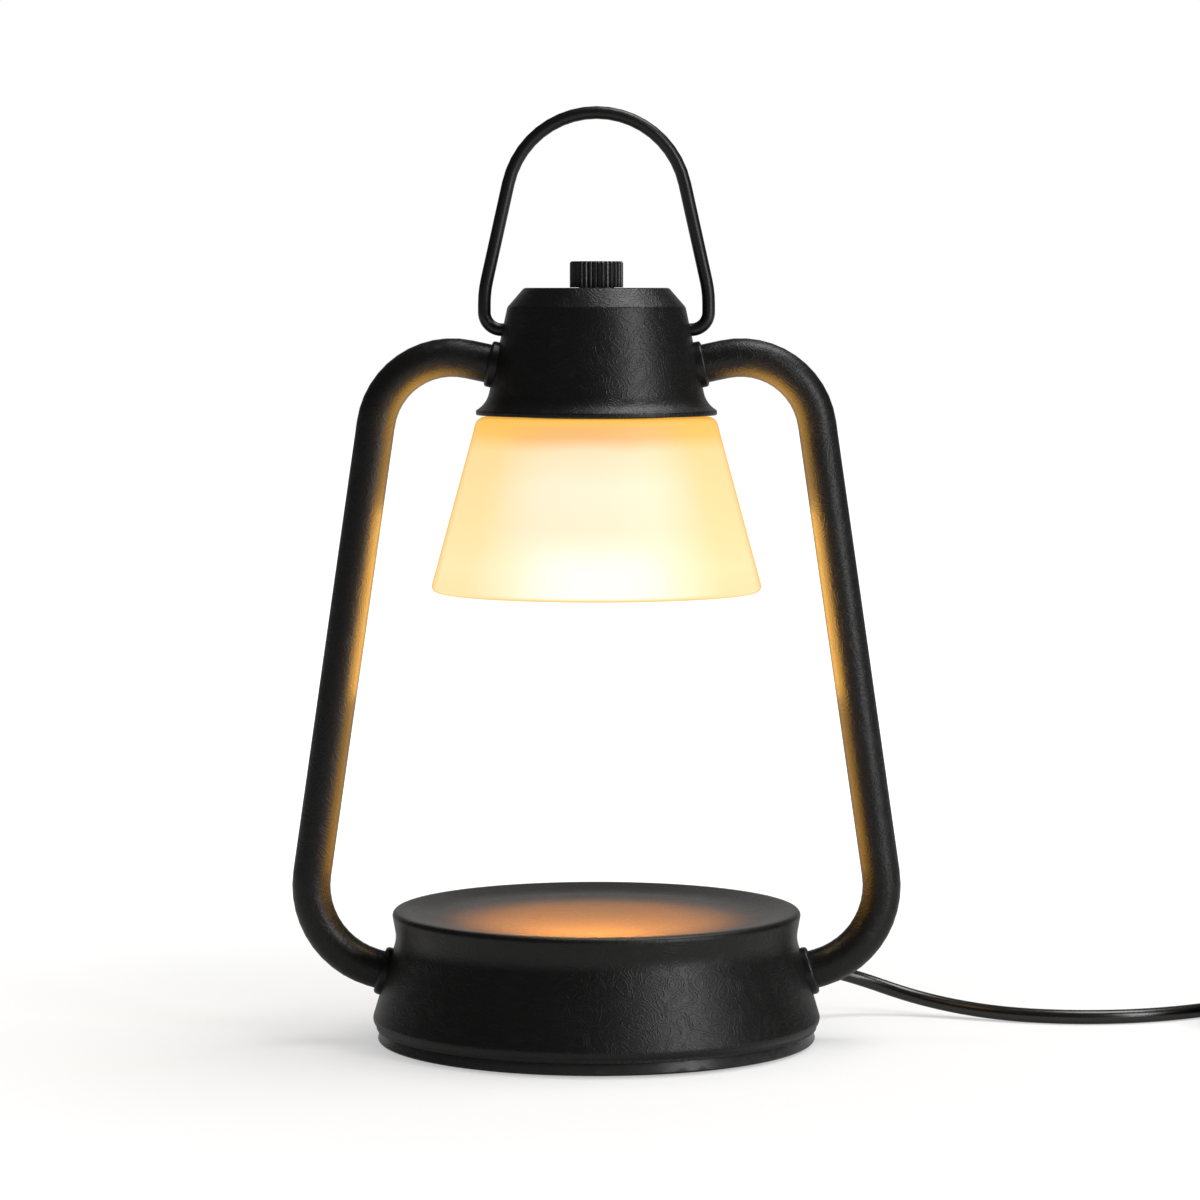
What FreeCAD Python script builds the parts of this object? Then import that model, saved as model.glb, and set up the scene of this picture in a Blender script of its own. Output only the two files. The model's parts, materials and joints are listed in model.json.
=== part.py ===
import FreeCAD, Part
import math
import os
from FreeCAD import Vector

# Candle warmer lamp: a round weighted base, two bent side tubes and a spun hood that holds a lamp,
# a glass shade, a dimmer knob and a wire bail. Millimetres, origin on the floor under the base's
# centre, +Z up, +X to the right-hand tube, -Y to the front.

# ---- driving sizes: base ----
foot_stand = 0.6            # how far the rubber pads lift the tray off the floor
pad_radius = 6.0
pad_thickness = 1.4
pad_circle = 56.0
tray_inset = 0.5            # the tray's band behind the shell's lower edge
tray_floor = 2.8
tray_band = 3.9
tray_foot_round = 0.7
spigot_height = 4.5
spigot_wall = 1.6
shell_wall = 1.2
shell_edge_radius = 69.0    # the shell's lower edge
shell_edge_band = 0.9
shell_edge_round = 0.8
skirt_flare = 1.3           # the widest corner beyond the lower edge
skirt_rise = 2.4            # the widest corner above the lower edge
skirt_round = 2.5
waist_pinch = 7.7           # the waist inside the widest corner
waist_rise = 28.0
waist_round = 10.0
rim_flare = 1.6             # the rim beyond the waist
rim_rise = 36.8
rim_width = 3.2
rim_outer_round = 2.2
rim_inner_round = 3.0
plate_rise = 35.0           # the candle plate above the shell's lower edge
plate_margin = 12.7         # the plate's flat inside the rim
plate_round = 40.0
ballast_margin = 14.0       # the weight's edge inside the shell's lower edge
ballast_thickness = 5.0
post_radius = 4.0
post_circle = 40.0
post_count = 3
post_screw_radius = 1.9
post_screw_grip = 10.0
screw_head_radius = 3.6
screw_head_height = 1.5
drive_length = 4.0          # the cross recess in the screws' heads
drive_width = 0.9
drive_depth = 0.8

# ---- driving sizes: side tubes and their fittings ----
tube_radius = 6.0
tube_wall = 1.2
lower_stub = 27.7           # along the stub's line, from the shell to the leg's line
upper_stub = 34.1
bend_margin = 0.4           # straight tube between the lower nipple and the bend
upper_straight = 8.4        # straight tube between the hood and the bend
base_port_rise = 17.0       # lower stub on the shell, above its lower edge
hood_port_rise = 15.5       # upper stub on the hood, above its lip
nipple_radius = 4.0
nipple_bore = 2.4
nipple_inside = 7.0         # threaded length past the outer wall
nipple_socket = 4.0         # length brazed into the tube
nut_flats = 12.0
nut_thickness = 3.0
base_collar_radius = 7.6
hood_collar_radius = 7.2
collar_width = 2.2
collar_round = 0.9
seat_stock = 3.0            # tubes and collars start this deep, and are cut to the wall
wall_cut = 6.0              # a port's cutter reaches this far each side of the wall

# ---- driving sizes: hood ----
bay_height = 156.5          # hood lip above the candle plate
hood_wall = 1.0
hood_height = 39.4
hood_top_radius = 22.5
hood_top_round = 1.6
hood_shoulder_radius = 27.7
hood_shoulder_drop = 6.0
hood_shoulder_round = 2.0
hood_neck_radius = 34.1
hood_neck_rise = 3.6
hood_flare_round = 8.0
hood_lip_radius = 37.5
hood_lip_band = 1.4
hood_lip_round = 0.7

# ---- driving sizes: bail ----
wire_radius = 2.0
bail_pivot_rise = 26.4      # above the hood's lip
bail_stand = 5.6            # leg's centre-line outside the hood wall
bail_elbow = 5.4
bail_straight = 11.7
bail_ease = 34.0            # gentle bend above the straight
bail_height = 67.1
bail_top_bend = 28.0
bail_inside = 4.8           # wire end past the wall
clip_radius = 2.9
clip_thickness = 0.8

# ---- driving sizes: dimmer and knob ----
dimmer_radius = 11.0
dimmer_depth = 9.5
bushing_radius = 4.0
bushing_height = 2.6
shaft_radius = 3.0
dimmer_nut_flats = 11.0
dimmer_nut_thickness = 2.0
knob_radius = 8.3
knob_height = 7.9
knob_lift = 0.3             # air between the knob and the hood
knob_roof = 2.0
knob_chamfer = 0.5
rib_count = 36
rib_groove = 0.42
shaft_in_dimmer = 4.0

# ---- driving sizes: bridge, lamp holder, shade and lamp ----
bridge_width = 14.0
bridge_thickness = 1.5
bridge_rise = 21.6          # underside of its web above the hood's lip
bridge_bend = 0.8
bridge_ear = 8.0            # ear past the tube's centre
cup_wall = 1.4
cup_top_radius = 16.4
cup_skirt_radius = 19.5
cup_step_rise = 8.0         # skirt's shoulder above the hood's lip
cup_skirt_length = 17.0
cup_flange_radius = 24.0
cup_flange_thickness = 1.5
holder_radius = 13.0
holder_height = 13.0
holder_screw_radius = 1.4
holder_screw_offset = 9.0
holder_screw_grip = 7.0
holder_head_radius = 2.6
holder_head_height = 1.4
shade_wall = 2.6
shade_gap = 0.6             # between the glass and the hood's lip
shade_height = 54.4
shade_bottom_radius = 51.9
shade_inset = 0.4           # the glass's shoulder inside the hood's lip
shade_shoulder = 3.2
shade_hole = 20.1
shade_edge_round = 1.1
ring_radius = 24.5
ring_height = 3.5
lamp_face_radius = 25.0
lamp_length = 54.0
lamp_neck_radius = 9.6
lamp_neck_length = 13.0
lamp_belly_radius = 17.5
lamp_belly_round = 16.0
lamp_neck_round = 4.0
lamp_rim_height = 4.5
lamp_rim_step = 0.8         # the rim stands out from the bowl
lamp_wall = 1.4
lens_thickness = 2.0
capsule_radius = 4.6
capsule_length = 22.0
pin_spacing = 10.0
pin_radius = 2.4
pin_length = 5.5

# ---- driving sizes: supply cord and wiring ----
cord_radius = 2.3
gland_azimuth = 30.0        # cord outlet, turned from +X towards the back
gland_rise = 15.3           # above the shell's lower edge
gland_droop = 12.0
gland_outside = 18.0
gland_inside = 8.0
gland_neck = 4.2
gland_flange = 6.0
gland_tip = 3.2
gland_plate = 2.4           # thickness of its flange outside the wall
gland_groove_count = 4
gland_groove_start = 5.0
gland_groove_pitch = 3.2
gland_groove_width = 1.2
block_length = 24.0
block_width = 16.0
block_height = 14.0
block_well_offset = 6.0
block_well_depth = 5.0
block_well_radius = 2.2
block_screw_height = 3.0
wire_grip = 3.0             # wires reach this far into the terminal block
wire_offset = 4.0
clamp_size = 9.0
clamp_thickness = 5.0
clamp_setback = 3.8         # the clamp's middle behind the gland's inner end
inlet_straight = 11.6       # the cord runs straight through the clamp
riser_setback = 28.0        # the riser joins the stub's line this far behind the port
riser_radius = 1.9
lead_radius = 0.8
lead_offset = 9.0
lead_gap = 0.5              # bared wires start past the sheath's end
coil_centre = (232.0, 24.0)
coil_radius = 27.4
coil_section = 13.8
plug_length = 30.0
plug_width = 26.0
plug_thickness = 13.6
plug_corner = 5.0
plug_edge = 2.5
plug_relief_length = 16.0
plug_relief_radius = 5.2
plug_relief_y = -6.0        # the relief's tip
tail_overlap = 4.0          # the cord's end reaches this far into the coil
plug_pin_radius = 2.0
plug_pin_length = 19.0
plug_pin_spacing = 18.6

# ---- clearances ----
seat = 0.15                 # curved pieces seated on a spun wall
hole_clearance = 0.15
spigot_clearance = 0.4
pivot_clearance = 0.08
slip = 0.1
rest_gap = 0.3
soft_edge = 0.4             # small edge roundings

os.makedirs("parts", exist_ok=True)


# ---- drawing helpers ----
def straight(start, end):
    return Part.LineSegment(start, end).toShape()


def bent(points, radii):
    """Edges through the points, with a tangent arc at each inner one whose radius isn't zero."""
    edges = []
    here = points[0]
    for index, radius in enumerate(radii):
        corner = points[index + 1]
        back = (points[index] - corner).normalize()
        ahead = (points[index + 2] - corner).normalize()
        start = end = corner
        if radius > 0:
            half = back.getAngle(ahead) / 2
            start = corner + back * (radius / math.tan(half))
            end = corner + ahead * (radius / math.tan(half))
        if (start - here).Length > 1e-6:
            edges.append(straight(here, start))
        if radius > 0:
            middle = corner + (back + ahead).normalize() * (radius / math.sin(half) - radius)
            edges.append(Part.Arc(start, middle, end).toShape())
        here = end
    edges.append(straight(here, points[-1]))
    return edges


def profile(corners):
    """Points and radii of an outline given as (radius, height, rounding) corners."""
    points = [Vector(corner[0], 0, corner[1]) for corner in corners]
    return points, [corner[2] for corner in corners[1:-1]]


def beside(corners, distance):
    """The outline moved to its right-hand side by distance, with its roundings kept parallel."""
    count = len(corners)
    ways = []
    for first, second in zip(corners, corners[1:]):
        run = math.hypot(second[0] - first[0], second[1] - first[1])
        ways.append(((second[0] - first[0]) / run, (second[1] - first[1]) / run))
    moved = []
    for index, (r, z, rounding) in enumerate(corners):
        before = ways[max(index - 1, 0)]
        after = ways[min(index, count - 2)]
        turn = before[0] * after[1] - before[1] * after[0]
        shift = distance / (1 + before[0] * after[0] + before[1] * after[1])
        r_new = r + shift * (before[1] + after[1])
        z_new = z - shift * (before[0] + after[0])
        if rounding > 0:
            rounding = max(rounding + (distance if turn > 0 else -distance), 0.05)
        moved.append((r_new, z_new, rounding))
    return moved


def on_axis(corners):
    """The same outline, with its first corner put on the axis."""
    first = corners[0]
    return [(0.0, first[1], first[2])] + corners[1:]


def spun(outline):
    """A solid turned round the Z axis from closed edges."""
    face = Part.Face(Part.Wire(outline))
    solid = face.revolve(Vector(0, 0, 0), Vector(0, 0, 1), 360)
    return solid if solid.Volume > 0 else solid.reversed()


def closed(corners):
    """The closed edges of an outline given as (radius, height, rounding) corners."""
    first, second = corners[0], corners[1]
    middle = ((first[0] + second[0]) / 2, (first[1] + second[1]) / 2, 0)
    ring = [middle] + list(corners[1:]) + [first, middle]
    points, radii = profile(ring)
    return bent(points, radii)


def turned(corners):
    """A solid of revolution with that outline."""
    return spun(closed(corners))


def sheet(corners, wall, edge=0.0):
    """Corners round a sheet's section: its outer outline and the parallel on its inner side."""
    inner = beside(corners, wall)
    if corners[0][0] == 0:
        inner = on_axis(inner)
    outer = corners[:-1] + [corners[-1][:2] + (edge,)]
    inner = inner[:-1] + [inner[-1][:2] + (edge,)]
    return outer + inner[::-1]


def envelope(corners, grow):
    """All that lies inside a spun wall's outer outline, grown by a clearance."""
    grown = on_axis(beside(corners, -grow))
    points, radii = profile(grown)
    edges = bent(points, radii)
    foot = Vector(0, 0, points[-1].z)
    edges.append(straight(points[-1], foot))
    edges.append(straight(foot, points[0]))
    return spun(edges)


def pipe(edges, radius):
    """A round bar swept along tangent lines and arcs."""
    path = Part.Wire(edges)
    first = edges[0]
    tangent = first.tangentAt(first.FirstParameter)
    section = Part.Wire(Part.Circle(first.valueAt(first.FirstParameter), tangent, radius).toShape())
    swept = path.makePipeShell([section], True, False)
    return swept if swept.Volume > 0 else swept.reversed()


def rod(start, direction, length, radius):
    return Part.makeCylinder(radius, length, start, direction)


def through(spot, direction, radius):
    """The cutter of a round hole through a thin wall."""
    return rod(spot - direction * wall_cut, direction, 2 * wall_cut, radius)


def hexagon(start, direction, flats, thickness):
    """A hexagonal prism from start along direction."""
    corner = flats / math.sqrt(3)
    ring = around(6, corner, 30, 0)
    prism = Part.Face(Part.makePolygon(ring + ring[:1])).extrude(Vector(0, 0, thickness))
    prism.Placement = FreeCAD.Placement(start, FreeCAD.Rotation(Vector(0, 0, 1), direction))
    return prism


def around(count, radius, first_angle, height):
    """Points evenly spaced on a circle about the Z axis."""
    angles = [math.radians(first_angle + 360 * k / count) for k in range(count)]
    return [Vector(radius * math.cos(a), radius * math.sin(a), height) for a in angles]


def mirrored(shape):
    """The same piece on the left-hand side."""
    return shape.mirror(Vector(0, 0, 0), Vector(1, 0, 0))


def both(shape):
    return Part.makeCompound([shape, mirrored(shape)])


def save(name, shape):
    solids = shape.Solids
    shape = solids[0] if len(solids) == 1 else Part.makeCompound(solids)
    shape.exportStep("parts/" + name + ".step")
    print("%-18s solids %d volume %.1f valid %s" % (name, len(solids), shape.Volume, shape.isValid()))


def on_line(height, upper, lower):
    """The radius of a straight wall at a height, between two (radius, height) corners."""
    return lower[0] + (upper[0] - lower[0]) * (height - lower[1]) / (upper[1] - lower[1])


def wall_normal(upper, lower):
    """The outward direction square to a straight wall, at +X."""
    return Vector(upper[1] - lower[1], 0, lower[0] - upper[0]).normalize()


def sagitta(radius, half_width):
    return radius - math.sqrt(radius ** 2 - half_width ** 2)


def eased(points):
    """The widest tangent arcs that a route's runs allow."""
    radii = []
    for before, corner, after in zip(points, points[1:], points[2:]):
        half = (before - corner).getAngle(after - corner) / 2
        shorter = min((before - corner).Length, (after - corner).Length)
        radii.append(0.45 * shorter * math.tan(half))
    return radii


def along(shape, start, direction):
    """A piece modelled on the Z axis, put on a line from start along direction."""
    shape.Placement = FreeCAD.Placement(start, FreeCAD.Rotation(Vector(0, 0, 1), direction))
    return shape


# ---- heights and walls that the pieces share ----
shell_bottom = foot_stand + tray_band
plate_z = shell_bottom + plate_rise
rim_z = shell_bottom + rim_rise
tray_radius = shell_edge_radius - tray_inset
skirt = (shell_edge_radius + skirt_flare, shell_bottom + skirt_rise)
waist = (skirt[0] - waist_pinch, shell_bottom + waist_rise)
rim_radius = waist[0] + rim_flare
shell_corners = [
    (0.0, plate_z, 0),
    (rim_radius - plate_margin, plate_z, plate_round),
    (rim_radius - rim_width, rim_z, rim_inner_round),
    (rim_radius, rim_z, rim_outer_round),
    waist + (waist_round,),
    skirt + (skirt_round,),
    (shell_edge_radius, shell_bottom + shell_edge_band, shell_edge_round),
    (shell_edge_radius, shell_bottom, 0),
]
ballast_radius = shell_edge_radius - ballast_margin
ballast_bottom = foot_stand + tray_floor
ballast_top = ballast_bottom + ballast_thickness

lip_z = plate_z + bay_height
hood_top = lip_z + hood_height
shoulder = (hood_shoulder_radius, hood_top - hood_shoulder_drop)
neck = (hood_neck_radius, lip_z + hood_neck_rise)
hood_corners = [
    (0.0, hood_top, 0),
    (hood_top_radius, hood_top, hood_top_round),
    shoulder + (hood_shoulder_round,),
    neck + (hood_flare_round,),
    (hood_lip_radius, lip_z + hood_lip_band, hood_lip_round),
    (hood_lip_radius, lip_z, 0),
]
hood_ceiling = hood_top - hood_wall

base_port = Vector(on_line(shell_bottom + base_port_rise, waist, skirt), 0, shell_bottom + base_port_rise)
base_normal = wall_normal(waist, skirt)
hood_port = Vector(on_line(lip_z + hood_port_rise, shoulder, neck), 0, lip_z + hood_port_rise)
hood_normal = wall_normal(shoulder, neck)
ports = [(base_port, base_normal), (hood_port, hood_normal)]
shell_envelope = envelope(shell_corners, seat)
hood_envelope = envelope(hood_corners, seat)


# ---- base ----
def bottom_tray():
    spigot = shell_edge_radius - shell_wall - spigot_clearance
    body = turned([
        (0, foot_stand, 0),
        (tray_radius, foot_stand, tray_foot_round),
        (tray_radius, shell_bottom, soft_edge),
        (spigot, shell_bottom, 0),
        (spigot, shell_bottom + spigot_height, soft_edge),
        (spigot - spigot_wall, shell_bottom + spigot_height, soft_edge),
        (spigot - spigot_wall, ballast_bottom, soft_edge),
        (0, ballast_bottom, 0),
    ])
    for spot in around(4, pad_circle, 45, foot_stand):
        body = body.cut(rod(spot, Vector(0, 0, 1), pad_thickness - foot_stand, pad_radius + slip))
    for spot in around(post_count, post_circle, 90, foot_stand):
        body = body.cut(rod(spot, Vector(0, 0, 1), screw_head_height + slip, screw_head_radius + slip))
        body = body.cut(rod(spot, Vector(0, 0, 1), tray_floor, post_screw_radius + slip))
    return body


def foot_pads():
    pad = [
        (0, 0, 0),
        (pad_radius, 0, soft_edge),
        (pad_radius, pad_thickness, 0),
        (0, pad_thickness, 0),
    ]
    pads = [turned(pad).translated(spot) for spot in around(4, pad_circle, 45, 0)]
    return Part.makeCompound(pads)


def ballast_disc():
    disc = turned([
        (0, ballast_bottom, 0),
        (ballast_radius, ballast_bottom, soft_edge),
        (ballast_radius, ballast_top, soft_edge),
        (0, ballast_top, 0),
    ])
    for spot in around(post_count, post_circle, 90, ballast_bottom):
        disc = disc.cut(rod(spot, Vector(0, 0, 1), ballast_thickness, post_screw_radius + slip))
    return disc


def base_posts():
    length = plate_z - shell_wall - ballast_top
    posts = []
    for spot in around(post_count, post_circle, 90, ballast_top):
        post = rod(spot, Vector(0, 0, 1), length, post_radius)
        posts.append(post.cut(rod(spot, Vector(0, 0, 1), post_screw_grip + 1, post_screw_radius + slip)))
    return Part.makeCompound(posts)


def base_screws():
    head_bottom = foot_stand + slip
    head_top = head_bottom + screw_head_height
    tip = ballast_top + post_screw_grip
    screws = []
    for spot in around(post_count, post_circle, 90, 0):
        screw = turned([
            (0, head_bottom, 0),
            (screw_head_radius, head_bottom, soft_edge),
            (screw_head_radius, head_top, 0),
            (post_screw_radius, head_top, 0),
            (post_screw_radius, tip, soft_edge),
            (0, tip, 0),
        ])
        for length, width in ((drive_length, drive_width), (drive_width, drive_length)):
            slot = Part.makeBox(length, width, drive_depth, Vector(-length / 2, -width / 2, head_bottom))
            screw = screw.cut(slot)
        screws.append(screw.translated(spot))
    return Part.makeCompound(screws)


def base_shell():
    shell = turned(sheet(shell_corners, shell_wall))
    port = through(base_port, base_normal, nipple_radius + hole_clearance)
    return shell.cut(both(port)).cut(through(gland_foot, gland_way, gland_neck + hole_clearance))


# ---- side tubes and their fittings ----
def stub_bend(stub, straight, normal, leg):
    """The bend between a stub and the leg that leaves that much of the stub straight."""
    return (stub - straight) / math.tan(normal.getAngle(leg) / 2)


lower_knee = base_port + base_normal * lower_stub
upper_knee = hood_port + hood_normal * upper_stub
leg_way = (upper_knee - lower_knee).normalize()
lower_bend = stub_bend(lower_stub, nipple_socket + bend_margin, base_normal, leg_way)
upper_bend = stub_bend(upper_stub, upper_straight, hood_normal, leg_way * -1)


def side_tube():
    route = [base_port - base_normal * seat_stock, lower_knee, upper_knee,
             hood_port - hood_normal * seat_stock]
    bends = [lower_bend, upper_bend]
    bore = [base_port + base_normal * nipple_socket, lower_knee, upper_knee,
            hood_port + hood_normal * nipple_socket]
    tube = pipe(bent(route, bends), tube_radius)
    tube = tube.cut(pipe(bent(bore, bends), tube_radius - tube_wall))
    tube = tube.cut(shell_envelope).cut(hood_envelope)
    for port, normal in ports:
        start = port - normal * nipple_inside
        tube = tube.fuse(rod(start, normal, nipple_inside + nipple_socket, nipple_radius))
    for port, normal in ports:
        start = port - normal * nipple_inside
        tube = tube.cut(rod(start, normal, nipple_inside + nipple_socket, nipple_bore))
    return tube


def collar(port, normal, radius, inside):
    ring = turned([
        (tube_radius + slip, -seat_stock, 0),
        (radius, -seat_stock, 0),
        (radius, collar_width, collar_round),
        (tube_radius + slip, collar_width, soft_edge),
    ])
    return along(ring, port, normal).cut(inside)


def nut(port, normal, depth):
    """A hexagonal nut on the nipple, its face at a depth behind the port."""
    face = port - normal * depth
    body = hexagon(face, normal * -1, nut_flats, nut_thickness)
    return body.cut(rod(face, normal * -1, nut_thickness, nipple_radius + slip))


def base_nut():
    corner = nut_flats / math.sqrt(3)
    return nut(base_port, base_normal, shell_wall + sagitta(base_port.x - shell_wall, corner) + slip)


ear_depth = hood_wall + sagitta(hood_port.x - hood_wall, bridge_width / 2) + slip


def hood_nut():
    return nut(hood_port, hood_normal, ear_depth + bridge_thickness)


# ---- hood, bail and knob ----
pivot_z = lip_z + bail_pivot_rise
pivot_wall = on_line(pivot_z, shoulder, neck)


def bail_hole():
    start = Vector(pivot_wall - bail_inside, 0, pivot_z)
    return rod(start, Vector(1, 0, 0), 2 * bail_inside, wire_radius + pivot_clearance)


def hood():
    shell = turned(sheet(hood_corners, hood_wall, soft_edge))
    port = through(hood_port, hood_normal, nipple_radius + hole_clearance)
    shell = shell.cut(both(port)).cut(both(bail_hole()))
    return shell.cut(through(Vector(0, 0, hood_ceiling), Vector(0, 0, 1), bushing_radius + hole_clearance))


def bail():
    """The wire: straight ends through the hood, an elbow, a lean that starts gently, and a round top."""
    reach = pivot_wall + bail_stand
    foot_z = pivot_z + bail_straight
    centre_z = pivot_z + bail_height - bail_top_bend
    centre_way = math.hypot(reach, centre_z - foot_z)
    lean = math.atan2(reach, centre_z - foot_z) - math.asin(bail_top_bend / centre_way)
    apex_z = foot_z + reach / math.tan(lean)
    right = [
        Vector(reach, 0, foot_z),
        Vector(reach, 0, pivot_z),
        Vector(pivot_wall - bail_inside, 0, pivot_z),
    ]
    left = [Vector(-p.x, 0, p.z) for p in reversed(right)]
    route = left + [Vector(0, 0, apex_z)] + right
    return pipe(bent(route, [bail_elbow, bail_ease, bail_top_bend, bail_ease, bail_elbow]), wire_radius)


def bail_clips():
    """Push-on rings that keep the wire's ends inside the hood."""
    narrow = on_line(pivot_z + clip_radius, shoulder, neck) - hood_wall
    face = narrow - sagitta(narrow, clip_radius) - rest_gap
    start = Vector(face - clip_thickness, 0, pivot_z)
    ring = rod(start, Vector(1, 0, 0), clip_thickness, clip_radius)
    return both(ring.cut(rod(start, Vector(1, 0, 0), clip_thickness, wire_radius)))


knob_bottom = hood_top + knob_lift
knob_top = knob_bottom + knob_height
nut_cavity = dimmer_nut_flats / math.sqrt(3) + rest_gap
cavity_top = hood_top + bushing_height + rest_gap


def knob():
    body = turned([
        (shaft_radius, cavity_top, 0),
        (nut_cavity, cavity_top, 0),
        (nut_cavity, knob_bottom, 0),
        (knob_radius, knob_bottom, soft_edge),
        (knob_radius, knob_top - knob_chamfer, 0),
        (knob_radius - knob_chamfer, knob_top, 0),
        (0, knob_top, 0),
        (0, knob_top - knob_roof, 0),
        (shaft_radius, knob_top - knob_roof, 0),
    ])
    grooves = [rod(spot, Vector(0, 0, 1), 2 * knob_height, rib_groove)
               for spot in around(rib_count, knob_radius, 0, knob_bottom - knob_height / 2)]
    return body.cut(Part.makeCompound(grooves))


def dimmer_shaft():
    bottom = hood_ceiling - shaft_in_dimmer
    return rod(Vector(0, 0, bottom), Vector(0, 0, 1), knob_top - knob_roof - bottom, shaft_radius)


def dimmer_body():
    bottom = hood_ceiling - dimmer_depth
    top = hood_top + bushing_height
    body = turned([
        (0, bottom, 0),
        (dimmer_radius, bottom, soft_edge),
        (dimmer_radius, hood_ceiling, soft_edge),
        (bushing_radius, hood_ceiling, 0),
        (bushing_radius, top, soft_edge),
        (0, top, 0),
    ])
    well = hood_ceiling - shaft_in_dimmer - rest_gap
    return body.cut(rod(Vector(0, 0, well), Vector(0, 0, 1), top - well, shaft_radius + pivot_clearance))


def dimmer_nut():
    face = Vector(0, 0, hood_top)
    body = hexagon(face, Vector(0, 0, 1), dimmer_nut_flats, dimmer_nut_thickness)
    return body.cut(rod(face, Vector(0, 0, 1), dimmer_nut_thickness, bushing_radius + slip))


# ---- bridge, lamp holder, shade and lamp ----
web_bottom = lip_z + bridge_rise
web_top = web_bottom + bridge_thickness
cup_ceiling = web_bottom - cup_wall
holder_bottom = cup_ceiling - holder_height
lamp_top = holder_bottom - rest_gap
lamp_face = lamp_top - lamp_length
shade_top = lip_z - shade_gap
shade_top_radius = hood_lip_radius - shade_inset
shade_bottom = shade_top - shade_height
screw_spots = [Vector(x, 0, 0) for x in (-holder_screw_offset, holder_screw_offset)]
lead_spots = [Vector(0, y, 0) for y in (-lead_offset, lead_offset)]


def hood_bridge():
    """A strap across the hood: its ears lie on the wall under the tubes' nuts."""
    up = Vector(-hood_normal.z, 0, hood_normal.x)
    ear = hood_port - hood_normal * ear_depth
    foot = ear - up * bridge_ear
    bend = ear + up * ((web_top - ear.z) / up.z)
    outer = bridge_bend + bridge_thickness
    strap = sheet([
        (-foot.x, foot.z, 0),
        (-bend.x, bend.z, outer),
        (bend.x, bend.z, outer),
        (foot.x, foot.z, 0),
    ], bridge_thickness)
    face = Part.Face(Part.Wire(closed(strap)))
    body = face.extrude(Vector(0, bridge_width, 0)).translated(Vector(0, -bridge_width / 2, 0))
    body = body.cut(both(through(ear, hood_normal, nipple_radius + hole_clearance)))
    for spot in screw_spots:
        start = spot + Vector(0, 0, web_bottom)
        body = body.cut(rod(start, Vector(0, 0, 1), bridge_thickness, holder_screw_radius + slip))
    return body


def holder_cup():
    """The spun cup that hangs from the bridge, with a threaded skirt and a flange for the shade."""
    step_z = lip_z + cup_step_rise
    cup = turned(sheet([
        (0.0, web_bottom, 0),
        (cup_top_radius, web_bottom, 2.0),
        (cup_top_radius, step_z, 1.0),
        (cup_skirt_radius, step_z, 1.6),
        (cup_skirt_radius, step_z - cup_skirt_length, 0),
    ], cup_wall))
    flange = turned([
        (cup_skirt_radius - cup_wall / 2, shade_top, 0),
        (cup_flange_radius, shade_top, 0),
        (cup_flange_radius, shade_top + cup_flange_thickness, soft_edge),
        (cup_skirt_radius - cup_wall / 2, shade_top + cup_flange_thickness, 0),
    ])
    cup = cup.fuse(flange)
    for spot in screw_spots + lead_spots:
        start = spot + Vector(0, 0, cup_ceiling)
        cup = cup.cut(rod(start, Vector(0, 0, 1), cup_wall, holder_screw_radius + slip))
    return cup


def lamp_holder():
    body = turned([
        (0, holder_bottom, 0),
        (holder_radius, holder_bottom, soft_edge),
        (holder_radius, cup_ceiling, soft_edge),
        (0, cup_ceiling, 0),
    ])
    for y in (-pin_spacing / 2, pin_spacing / 2):
        start = Vector(0, y, holder_bottom)
        body = body.cut(rod(start, Vector(0, 0, 1), pin_length + 1, pin_radius + hole_clearance))
    for spot in screw_spots:
        start = spot + Vector(0, 0, cup_ceiling - holder_screw_grip - 1)
        body = body.cut(rod(start, Vector(0, 0, 1), holder_screw_grip + 1, holder_screw_radius + slip / 2))
    return body


def holder_screws():
    screws = []
    for spot in screw_spots:
        screw = turned([
            (0, cup_ceiling - holder_screw_grip, 0),
            (holder_screw_radius, cup_ceiling - holder_screw_grip, soft_edge),
            (holder_screw_radius, web_top, 0),
            (holder_head_radius, web_top, 0),
            (holder_head_radius, web_top + holder_head_height, soft_edge),
            (0, web_top + holder_head_height, 0),
        ])
        screws.append(screw.translated(spot))
    return Part.makeCompound(screws)


def shade():
    return turned(sheet([
        (shade_hole, shade_top, 0),
        (shade_top_radius, shade_top, shade_shoulder),
        (shade_bottom_radius, shade_bottom, 0),
    ], shade_wall, shade_edge_round))


def shade_ring():
    """The threaded ring that holds the glass up against the flange."""
    top = shade_top - shade_wall
    return turned([
        (cup_skirt_radius + slip, top, 0),
        (ring_radius, top, soft_edge),
        (ring_radius, top - ring_height, soft_edge),
        (cup_skirt_radius + slip, top - ring_height, soft_edge),
    ])


def lamp_reflector():
    rim_z = lamp_face + lamp_rim_height
    neck_z = lamp_top - lamp_neck_length
    belly_z = 0.55 * neck_z + 0.45 * rim_z
    return turned(sheet([
        (0.0, lamp_top, 0),
        (lamp_neck_radius, lamp_top, lamp_wall + soft_edge),
        (lamp_neck_radius, neck_z, lamp_neck_round),
        (lamp_belly_radius, belly_z, lamp_belly_round),
        (lamp_face_radius - lamp_rim_step, rim_z + lamp_wall, lamp_wall + soft_edge),
        (lamp_face_radius, rim_z, 0),
        (lamp_face_radius, lamp_face, 0),
    ], lamp_wall, soft_edge))


def lamp_lens():
    radius = lamp_face_radius - lamp_wall - slip
    bottom = lamp_face + rest_gap
    return turned([
        (0, bottom, 0),
        (radius, bottom, soft_edge),
        (radius, bottom + lens_thickness, soft_edge),
        (0, bottom + lens_thickness, 0),
    ])


def lamp_capsule():
    top = lamp_top - lamp_wall
    return turned([
        (0, top, 0),
        (capsule_radius, top, 0),
        (capsule_radius, top - capsule_length, capsule_radius - soft_edge),
        (0, top - capsule_length, 0),
    ])


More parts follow.
